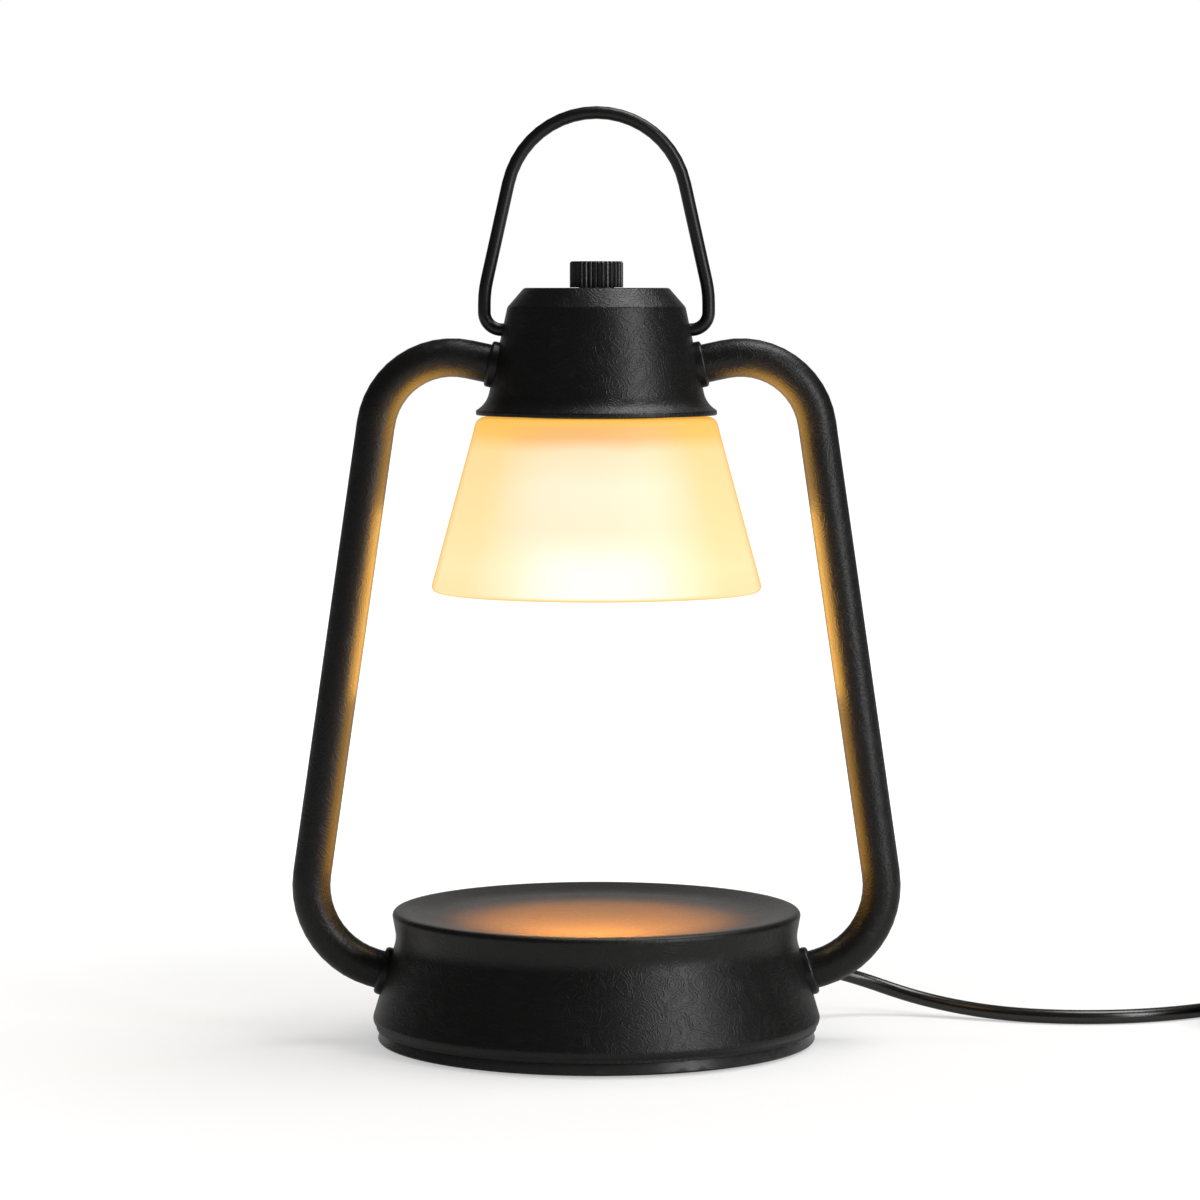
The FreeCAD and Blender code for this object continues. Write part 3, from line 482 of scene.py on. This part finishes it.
# %% Turn on the lathe, bend a tube, add a twin
def turned(corners, steps=160):
    """A closed outline of (radius, height, rounding) corners in mm, spun about the Z axis."""
    first, second = corners[0], corners[1]
    middle = ((first[0] + second[0]) / 2, (first[1] + second[1]) / 2, 0)
    ring = [middle] + list(corners[1:]) + [first, middle]
    bm = bmesh.new()
    start = bm.verts.new((middle[0] * mm, 0, middle[1] * mm))
    trace(bm, [start], [(r * mm, 0, z * mm) for r, z, _ in ring], [c[2] * mm for c in ring[1:-1]])
    bmesh.ops.remove_doubles(bm, verts=bm.verts, dist=0.001 * mm)
    bmesh.ops.spin(bm, geom=bm.verts[:] + bm.edges[:], cent=(0, 0, 0), axis=(0, 0, 1),
                   angle=math.tau, steps=steps, use_merge=True)
    return tidy(bm)


def bent_tube(route, bends, radius, sides=48):
    """A round bar along a route in mm, with a tangent bend at each inner point."""
    points = [Vector(p) * mm for p in route]
    way = (points[1] - points[0]).normalized()
    placed = Matrix.Translation(points[0]) @ way.to_track_quat("Z", "Y").to_matrix().to_4x4()
    bm = bmesh.new()
    bmesh.ops.create_circle(bm, segments=sides, radius=radius * mm, matrix=placed)
    trace(bm, bm.verts[:] + bm.edges[:], points, [bend * mm for bend in bends])
    bmesh.ops.holes_fill(bm, edges=bm.edges, sides=0)
    return tidy(bm)


def mirror_across(bm):
    """Adds the same piece on the left-hand side."""
    bmesh.ops.mirror(bm, geom=bm.verts[:] + bm.edges[:] + bm.faces[:], axis="X", merge_dist=-1)
    bmesh.ops.recalc_face_normals(bm, faces=bm.faces)
    return bm


print("lathe and bender ready")

# %% [markdown]
# A finished mesh becomes an object at the origin. It rides on its moving body, takes the finish
# it is given, hides the solids it stands for, and is shaded smoothly but for its sharp edges.

# %% Place a piece
slot_of = {entry["node"]: entry["material_slot"] for entry in frame["record"]["subparts"]}
sharp_from = math.radians(35)


def place_piece(name, bm, finish, *stands_for, body="root"):
    """Makes the object, rides it on its body and lets it stand for CAD nodes."""
    for face in bm.faces:
        face.smooth = True
    mesh = bpy.data.meshes.new(name)
    bm.to_mesh(mesh)
    bm.free()
    obj = bpy.data.objects.new(name, mesh)
    scene.collection.objects.link(obj)
    mesh.materials.append(finish.material)
    mesh.set_sharp_from_angle(angle=sharp_from)
    even = obj.modifiers.new("even_shading", "WEIGHTED_NORMAL")
    even.keep_sharp = True
    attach(obj, body)
    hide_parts(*stands_for)
    print(name, len(mesh.polygons), "faces")
    return obj


print("material slots:", len(set(slot_of.values())))

# %% [markdown]
# ## The powder coat
# The shells and tubes are sheet steel under a baked black powder. The powder flows as it bakes
# and leaves a shallow relief of ridges, about a millimetre apart, that wander and close into
# small rings. The contour lines of a soft noise do the same: where the noise passes one of many
# even levels, a ridge stands. Two such patterns of unlike size keep it from looking regular. An
# image texture would have seams and would repeat, and noise does neither.

# %% Mix the powder coat
def wandering_ridges(finish, size, levels, width):
    """1 along thin ridges that wander like contour lines, 0 between them."""
    ground = finish.noise(size, detail=0.5, roughness=0.4)
    wave = abs(ground.maths("SINE", ground * (levels * math.pi)))
    return 1 - finish.ramp(wave, 0.0, width)


ridge_height, relief = 0.07 * mm, 0.8
textured_black = Finish("textured_black", Specular_IOR_Level=0.34)
curls = wandering_ridges(textured_black, 6.0 * mm, 11, 0.6)
strokes = wandering_ridges(textured_black, 3.0 * mm, 6, 0.5)
cloud = textured_black.noise(24 * mm, detail=3)
dust = textured_black.noise(0.7 * mm, detail=2)
ridges = curls * 0.6 + strokes * 0.4
tone = textured_black.between(ridges * 0.6 + cloud * 0.4, tint(5, 5, 5), tint(15, 14, 13))
textured_black.feed("Base Color", tone)
textured_black.feed("Roughness", 0.38 + cloud * 0.08 - ridges * 0.05)
textured_black.bump(ridges + dust * 0.10, ridge_height, relief)
print("powder coat:", len(textured_black.tree.nodes), "nodes")

# %% [markdown]
# ## The smooth blacks
# The bail is lacquered, and the collars, the tray, the knob, the feet and the cord are moulded
# in black plastic or rubber. Each has the same make-up, a fine skin over a slow change of tone
# and gloss, and differs in how dark, how fine and how shiny it is. The tray's skin is drawn out
# along its band, and the knob's runs up and down. The dimmer's case is moulded too, in a bluish
# grey.

# %% Mix the smooth blacks
cloud_size = 14 * mm


def moulded(name, dark, light, gloss, skin_size, depth, specular=0.5, stretch=(1, 1, 1)):
    """An even skin with a slow change of tone, and gloss as a roughness."""
    finish = Finish(name, Specular_IOR_Level=specular)
    cloud = finish.noise(cloud_size, detail=3)
    skin = finish.noise(skin_size * mm, detail=4, roughness=0.6, place=finish.stretched(stretch))
    finish.feed("Base Color", finish.between(cloud * 0.7 + skin * 0.3, tint(*dark), tint(*light)))
    finish.feed("Roughness", gloss - 0.08 + cloud * 0.10 + skin * 0.06)
    finish.bump(skin, depth * mm)
    return finish


smooth_black = moulded("smooth_black", (6, 6, 6), (14, 14, 14), 0.36, 1.4, 0.004, 0.36)
trim_black = moulded("trim_black", (5, 5, 5), (12, 12, 12), 0.40, 0.9, 0.006, 0.35)
tray_black = moulded("tray_black", (30, 30, 30), (44, 44, 44), 0.27, 0.8, 0.006, 0.26,
                     stretch=(0.04, 0.04, 1))
knob_black = moulded("knob_black", (5, 5, 5), (13, 13, 13), 0.34, 0.5, 0.008,
                     stretch=(1, 1, 0.1))
rubber_black = moulded("rubber_black", (26, 26, 26), (44, 43, 42), 0.75, 0.5, 0.05, 0.4)
cord_black = moulded("cord_black", (8, 8, 8), (17, 17, 17), 0.26, 1.6, 0.015, 0.6)
dimmer_plastic = moulded("dimmer_plastic", (42, 46, 54), (62, 68, 78), 0.45, 0.4, 0.01)
print("smooth blacks ready")

# %% [markdown]
# ## Metals, ceramic and pale plastic
# The bridge, posts, nuts and screws are zinc plated, the dimmer's shaft is turned aluminium, the
# plug's pins are nickel plated, the terminals have brass screws and the ballast is a raw iron
# casting. The lamp holder is fired ceramic, and the terminal block and the thin wires are pale
# plastic. Few of these show while the lamp is whole, but each has its own grain: plate has
# crystals in patches, casting has pits and ceramic has a slow wave in its glaze.

# %% Mix the metals
patch_size = 2.2 * mm


def plated(name, dark, light, gloss, grain, depth, stretch=(1, 1, 1)):
    """A bare or plated metal with patches of tone and a fine grain."""
    finish = Finish(name, Metallic=1.0)
    patches = finish.cells(patch_size, out="Color")
    flakes = finish.node("SeparateColor", values={0: patches})
    fine = finish.noise(grain * mm, detail=4, roughness=0.6, place=finish.stretched(stretch))
    finish.feed("Base Color", finish.between(flakes * 0.5 + fine * 0.5, tint(*dark), tint(*light)))
    finish.feed("Roughness", gloss - 0.06 + flakes * 0.06 + fine * 0.08)
    finish.bump(fine, depth * mm)
    return finish


zinc_steel = plated("zinc_steel", (176, 176, 172), (214, 214, 210), 0.34, 0.5, 0.01)
shaft_aluminium = plated("shaft_aluminium", (196, 196, 196), (232, 232, 232), 0.28, 0.4, 0.01,
                         stretch=(0.05, 0.05, 1))
nickel_pins = plated("nickel_pins", (196, 190, 180), (236, 230, 220), 0.2, 0.5, 0.006,
                     stretch=(1, 0.1, 1))
terminal_brass = plated("terminal_brass", (196, 158, 84), (230, 194, 116), 0.3, 0.4, 0.01)
ballast_iron = plated("ballast_iron", (70, 66, 64), (112, 108, 106), 0.7, 1.1, 0.15)
ceramic_white = moulded("ceramic_white", (226, 222, 212), (240, 237, 229), 0.2, 1.5, 0.02)
terminal_natural = moulded("terminal_natural", (214, 210, 192), (232, 228, 212), 0.4, 0.6, 0.01)
wire_white = moulded("wire_white", (212, 208, 200), (234, 231, 224), 0.45, 0.5, 0.01, 0.4)
print("metals ready")

# %% [markdown]
# ## The glass
# The shade is pressed glass, frosted on the outside, with the lamp alight in it. Frosting
# scatters the light so well that the wall itself seems to shine: cream over most of its height,
# and amber in the band under the hood, where little light gets to. Where the wall turns away it
# is seen through more glass and goes amber too. Low down, straight before the lamp's face, there
# is a soft bright spot, and the mouth ends in a thin amber line. Light that really scattered in
# the glass would take many samples to settle. So the glow is an emission that changes with height
# and with the angle of view, over a rough glass that lets a little through.

# %% Mix the glass of the shade
shade_mouth, shade_top = 141.0 * mm, 195.4 * mm
frosted_glass = Finish("frosted_glass", Roughness=0.5, IOR=1.45, Specular_IOR_Level=0.2,
                       Transmission_Weight=0.35, Emission_Strength=1.0)
frosting = frosted_glass.noise(0.5 * mm, detail=3)
wisps = frosted_glass.noise(18 * mm, detail=2)
height_up = frosted_glass.node("SeparateXYZ", values={0: frosted_glass.place}, out="Z")
level = (height_up - shade_mouth) / (shade_top - shade_mouth) + (wisps - 0.5) * 0.04
facing_on = frosted_glass.node("ValToRGB", {"stops": [
    (0.0, (0.92, 0.86, 0.66, 1)), (0.2, (0.92, 0.86, 0.66, 1)), (0.40, (0.86, 0.78, 0.60, 1)),
    (0.62, (0.86, 0.80, 0.63, 1)), (0.82, (0.86, 0.71, 0.49, 1)), (0.90, (0.78, 0.45, 0.18, 1)),
    (1.0, (0.80, 0.43, 0.11, 1))]}, {0: level})
turned_away = frosted_glass.node("ValToRGB", {"stops": [
    (0.0, (0.84, 0.69, 0.38, 1)), (0.16, (0.84, 0.73, 0.42, 1)), (0.34, (0.84, 0.70, 0.37, 1)),
    (0.82, (0.84, 0.64, 0.31, 1)), (0.91, (0.84, 0.51, 0.13, 1)),
    (1.0, (0.84, 0.49, 0.10, 1))]}, {0: level})
print("stops of the glow by height:", len(facing_on.socket.node.color_ramp.elements))

# %% [markdown]
# The two scales of colour are joined by how far the wall turns away from the eye, and its very
# edge gets one deep amber more. The bright spot and the line at the mouth go over them.

# %% Join the glow by the angle of the wall
aside = frosted_glass.node("LayerWeight", values={"Blend": 0.5}, out="Facing")
glow = frosted_glass.between(frosted_glass.ramp(aside, 0.02, 0.42), facing_on, turned_away)
glow = frosted_glass.between(frosted_glass.ramp(aside, 0.72, 1.0), glow, (0.70, 0.36, 0.05, 1))
hot_spot = 1 - frosted_glass.ramp(aside, 0.0, 0.17)
hot_spot = hot_spot * (1 - frosted_glass.ramp(level, 0.14, 0.38))
glow = frosted_glass.between(hot_spot, glow, (1.0, 0.95, 0.90, 1))
rim_line = 1 - frosted_glass.ramp(height_up, shade_mouth - 0.1 * mm, shade_mouth + 0.9 * mm)
glow = frosted_glass.between(rim_line * 0.8, glow, (0.80, 0.42, 0.07, 1))
# Painted light: the glass's own colour is a dark amber, not the pale frost that it has unlit. It
# carries the lamp's warm cast, and keeps the studio lamps from lighting it much.
body = frosted_glass.between(wisps, (0.12, 0.07, 0.025, 1), (0.15, 0.09, 0.035, 1))
frosted_glass.feed("Emission Color", glow)
frosted_glass.feed("Base Color", body)
frosted_glass.bump(frosting, 0.01 * mm)
print("shade glass:", len(frosted_glass.tree.nodes), "nodes")

# %% [markdown]
# A small reflector lamp hangs in the shade. Its bowl is silvered glass pressed in facets, and
# its front is a dimpled lens that spreads the beam. The lens is the brightest place in the shade,
# so it glows by itself. A Voronoi pattern draws both the facets and the dimples.

# %% Mix the glass of the lamp
reflector_glass = Finish("reflector_glass", Metallic=1.0)
facets = reflector_glass.cells(3.5 * mm)
silver = reflector_glass.between(facets, (0.86, 0.84, 0.80, 1), (0.70, 0.66, 0.60, 1))
reflector_glass.feed("Base Color", silver)
reflector_glass.feed("Roughness", 0.12 + facets * 0.2)
reflector_glass.bump(facets, 0.2 * mm)
lens_glass = Finish("lens_glass", Roughness=0.2, Emission_Strength=6.0)
dimples = lens_glass.cells(4.0 * mm)
beam = lens_glass.between(dimples, (1.0, 0.86, 0.56, 1), (1.0, 0.62, 0.24, 1))
lens_glass.feed("Emission Color", beam)
clear_glass = lens_glass.between(dimples, (0.95, 0.94, 0.90, 1), (0.85, 0.82, 0.74, 1))
lens_glass.feed("Base Color", clear_glass)
lens_glass.bump(dimples, 0.3 * mm)
print("lamp glass ready")

# %% [markdown]
# Each finish has the name of the material slot that it dresses. The list is printed against the
# slots of the solids, to show whether one was forgotten.

# %% List the finishes
finishes = {finish.name: finish for finish in (
    textured_black, smooth_black, trim_black, tray_black, knob_black, rubber_black, cord_black,
    dimmer_plastic, zinc_steel, shaft_aluminium, nickel_pins, terminal_brass, ballast_iron,
    ceramic_white, terminal_natural, wire_white, frosted_glass, reflector_glass, lens_glass)}
without = sorted(set(slot_of.values()) - set(finishes))
print("finishes:", len(finishes), "slots without one:", without)

# %% [markdown]
# ## The base shell
# The base is one steel sheet spun over a former: a shallow dished plate, a rounded rim, a waist,
# and a skirt that flares out to the foot. Its outline is all there is to its shape, so it is
# drawn once, down the outside and back up the inside, and turned about the lamp's axis. Stacked
# cylinders would show where they meet. Each corner has the radius that the former gives it.

# %% Turn the base shell
shell_outline = [(0, 39.5, 0), (51.5, 39.5, 40.0), (61.0, 41.3, 3.0), (64.2, 41.3, 1.6),
                 (62.6, 32.5, 10.0), (70.3, 6.9, 2.5), (69.0, 5.4, 0.8), (69.0, 4.5, 0),
                 (67.8, 4.5, 0), (67.8, 5.8, 0.3), (69.0, 7.1, 1.3), (61.4, 32.3, 10.0),
                 (62.8, 40.1, 1.0), (61.2, 40.1, 3.0), (51.6, 38.3, 40.0), (0, 38.3, 0)]
place_piece("base_shell_spun", turned(shell_outline), textured_black, "base_shell")

# %% [markdown]
# ## The hood
# The hood is spun in the same way: a flat top, a bevel, a steep wall, and a lip that flares over
# the glass. The outline comes back up the inside, so that the wall has the sheet's thickness of
# one millimetre.

# %% Turn the hood
hood_outline = [(0, 235.4, 0), (22.5, 235.4, 1.6), (27.7, 229.4, 2.0), (34.1, 199.6, 8.0),
                (37.5, 197.4, 0.7), (37.5, 196.0, 0.4), (36.5, 196.0, 0.4), (36.5, 196.9, 0.3),
                (33.2, 199.1, 9.0), (26.7, 229.0, 1.0), (22.0, 234.4, 0.6), (0, 234.4, 0)]
place_piece("hood_spun", turned(hood_outline, steps=128), textured_black, "hood")

# %% [markdown]
# ## The side tubes
# Each upright is a 12 mm tube with two bends. It leaves the base square to the wall, turns up at
# the lower knee, leans inwards, and turns again to meet the hood square to its wall. A knee lies
# where the line out of a wall crosses the upright, and the bender rounds it. A bevelled Bezier
# curve would come close, but its bends are no true arcs. The ends reach half a millimetre into
# the walls, so that no gap shows.

# %% Bend the side tubes
tube_radius, lower_bend, upper_bend, tube_entry = 6.0, 27.0, 24.0, 0.5
lower_reach, upper_reach = 92.4, 64.9           # how far out the knees lie
base_port, base_normal = Vector((65.91, 0, 21.5)), Vector((0.9576, 0, 0.2880))
hood_port, hood_normal = Vector((31.54, 0, 211.5)), Vector((0.9777, 0, 0.2100))
lower_knee = base_port + base_normal * ((lower_reach - base_port.x) / base_normal.x)
upper_knee = hood_port + hood_normal * ((upper_reach - hood_port.x) / hood_normal.x)
side_route = [base_port - base_normal * tube_entry, lower_knee, upper_knee,
              hood_port - hood_normal * tube_entry]
for side, name in ((1, "right"), (-1, "left")):
    route = [(p.x * side, p.y, p.z) for p in side_route]
    bm = bent_tube(route, [lower_bend, upper_bend], tube_radius)
    place_piece("side_tube_" + name, bm, textured_black, "tube_" + name)

# %% [markdown]
# ## The collars
# A moulded collar covers each hole in the walls. It is a short ring round the tube, rounded on
# its outer edge. The real one has a foot cut to the wall's curve; this one is plain and goes a
# little way into the wall, which shows the same and is simpler. It is turned about the Z axis,
# then moved to its port and turned square to the wall, and its twin is its mirror image.

# %% Turn the collars
bore, sunk, proud = 6.1, 2.5, 2.2       # the bore's radius, and the ends from the wall
rounded_share = 0.85                    # of the ring's thickness


def collar(port, normal, radius):
    rounding = (radius - bore) * rounded_share
    bm = turned([(bore, -sunk, 0), (radius, -sunk, 0), (radius, proud, rounding),
                 (bore, proud, 0.2)], steps=64)
    seat = Matrix.Translation(port * mm) @ normal.to_track_quat("Z", "Y").to_matrix().to_4x4()
    bmesh.ops.transform(bm, matrix=seat, verts=bm.verts)
    return bm


for port, normal, radius, place in ((base_port, base_normal, 7.6, "base"),
                                    (hood_port, hood_normal, 7.2, "hood")):
    bm = mirror_across(collar(port, normal, radius))
    place_piece(place + "_collars", bm, trim_black, place + "_collar_right",
                place + "_collar_left")

# %% [markdown]
# ## The bail
# The bail is one 4 mm wire: a round crown on two straight legs, a gentle bend low on each leg, a
# tight one at each foot, and ends that point inwards through the hood's wall, in which they
# swing. The tube bender makes it too, along a route whose second half is the first one mirrored.
# The legs' lines meet well above the crown, and that corner is the one that its bend rounds.

# %% Bend the bail
bail_radius, foot_bend, leg_bend, crown_bend = 2.0, 5.4, 34.0, 28.0
bail_side = [(24.4, 0, 222.4), (34.8, 0, 222.4), (34.8, 0, 234.1)]
bail_route = bail_side + [(0, 0, 390.0)] + [(-x, y, z) for x, y, z in reversed(bail_side)]
bail_bends = [foot_bend, leg_bend, crown_bend, leg_bend, foot_bend]
place_piece("bail_wire", bent_tube(bail_route, bail_bends, bail_radius, sides=32), smooth_black,
            "bail", body="bail")

# %% [markdown]
# ## The shade
# The glass is a cone with a flat top, in which the ring grips the edge of a round hole, and a
# wall of a little under 3 mm that ends in a rounded lip. Both faces of the wall are there,
# because light bends at each of them. A Solidify modifier could give a single cone its wall, but
# not the unlike roundings of the lip and the hole.

# %% Turn the shade
shade_outline = [(20.1, 195.4, 0.6), (37.1, 195.4, 3.2), (51.9, 141.0, 1.7), (49.2, 141.0, 0.5),
                 (35.1, 192.8, 0.7), (20.1, 192.8, 0.6)]
place_piece("shade_glass", turned(shade_outline), frosted_glass, "shade")

# %% [markdown]
# ## The knob
# The dimmer's knob is a small cylinder with grooves round it for the fingers. They could be cut
# with a Boolean modifier, but a toothed ring is quicker to draw up and leaves no slivers. Every
# sixth point of a circle goes inwards, and its two neighbours nearly as far, which leaves a rib
# between two grooves. The ring is extruded to the knob's height, and once more with a smaller
# ring, which bevels the top edge.

# %% Cut the knob
def ribbed_knob():
    ribs, per_rib, groove, flank = 36, 6, 0.42, 0.75
    radius, foot, height, bevel = 8.3, 235.5, 7.6, 0.5
    bm = bmesh.new()
    bmesh.ops.create_circle(bm, segments=ribs * per_rib, radius=radius * mm,
                            matrix=Matrix.Translation((0, 0, foot * mm)))
    for index, vert in enumerate(bm.verts[:]):
        if index % per_rib in (0, 1, per_rib - 1):
            depth = groove if index % per_rib == 0 else groove * flank
            vert.co.xy *= 1 - depth / radius
    front = bm.edges[:]
    for rise, shrink in ((height, 1.0), (bevel, (radius - bevel) / radius)):
        grown = bmesh.ops.extrude_edge_only(bm, edges=front)["geom"]
        verts = [g for g in grown if isinstance(g, bmesh.types.BMVert)]
        front = [g for g in grown if isinstance(g, bmesh.types.BMEdge)]
        bmesh.ops.translate(bm, verts=verts, vec=(0, 0, rise * mm))
        bmesh.ops.scale(bm, verts=verts, vec=(shrink, shrink, 1))
    bmesh.ops.holes_fill(bm, edges=bm.edges, sides=0)
    return tidy(bm)


place_piece("ribbed_knob", ribbed_knob(), knob_black, "knob", body="knob")

# %% [markdown]
# ## The pieces that show through a gap
# The tray, the feet, the gland, the plug and what hangs in the shade have the right shape as they
# come, and needn't be drawn again. But their triangles are loose, so light breaks at every edge.
# A copy with its points merged can be shaded smoothly up to each real edge, as on the moulded or
# turned piece. The tray's band gets the draft that lets a moulding leave its mould: it is slimmer
# at the top.

# %% Merge and smooth what shows
band_from, band_radius, draft = 4 * mm, 68.2 * mm, 0.9885


def smooth_copy(name):
    bm = bmesh.new()
    bm.from_mesh(nodes[name].data)
    bmesh.ops.remove_doubles(bm, verts=bm.verts, dist=0.001 * mm)
    if name == "bottom_tray":
        upper_edge = [v for v in bm.verts if v.co.z > band_from and v.co.xy.length > band_radius]
        bmesh.ops.scale(bm, verts=upper_edge, vec=(draft, draft, 1))
    return place_piece(name + "_smooth", bm, finishes[slot_of[name]], name)


smooth = {name: smooth_copy(name) for name in (
    "bottom_tray", "foot_pads", "base_screws", "cord_gland", "plug_body", "plug_pins",
    "shade_ring", "holder_cup", "lamp_reflector", "lamp_lens", "lamp_capsule", "lamp_pins",
    "lamp_holder")}
print("smoothed:", len(smooth))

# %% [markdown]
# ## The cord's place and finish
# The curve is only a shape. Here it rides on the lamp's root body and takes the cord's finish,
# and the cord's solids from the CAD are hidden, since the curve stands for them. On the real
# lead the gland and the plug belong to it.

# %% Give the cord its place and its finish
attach(cord, "root")
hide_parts("cord_lead", "cord_coil", "cord_tail")
cord_curve.materials.append(cord_black.material)
print("cord declared, diameter", round(2 * cord_radius / mm, 1), "mm")

# %% [markdown]
# ## The pieces inside
# Posts, nuts, cables and the dimmer never show while the lamp is whole. They stay as the CAD has
# them and only get their finish.

# %% Dress the solids that stay
for name, node in nodes.items():
    if not node.hide_render:
        node.data.materials.clear()
        node.data.materials.append(finishes[slot_of[name]].material)
        print("dressed", name)

# %% [markdown]
# ## The last update
# The dressed lamp keeps the size of the solids it was built on. At the end the view layer is
# brought up to date.

# %% Bring the view layer up to date
bpy.context.view_layer.update()
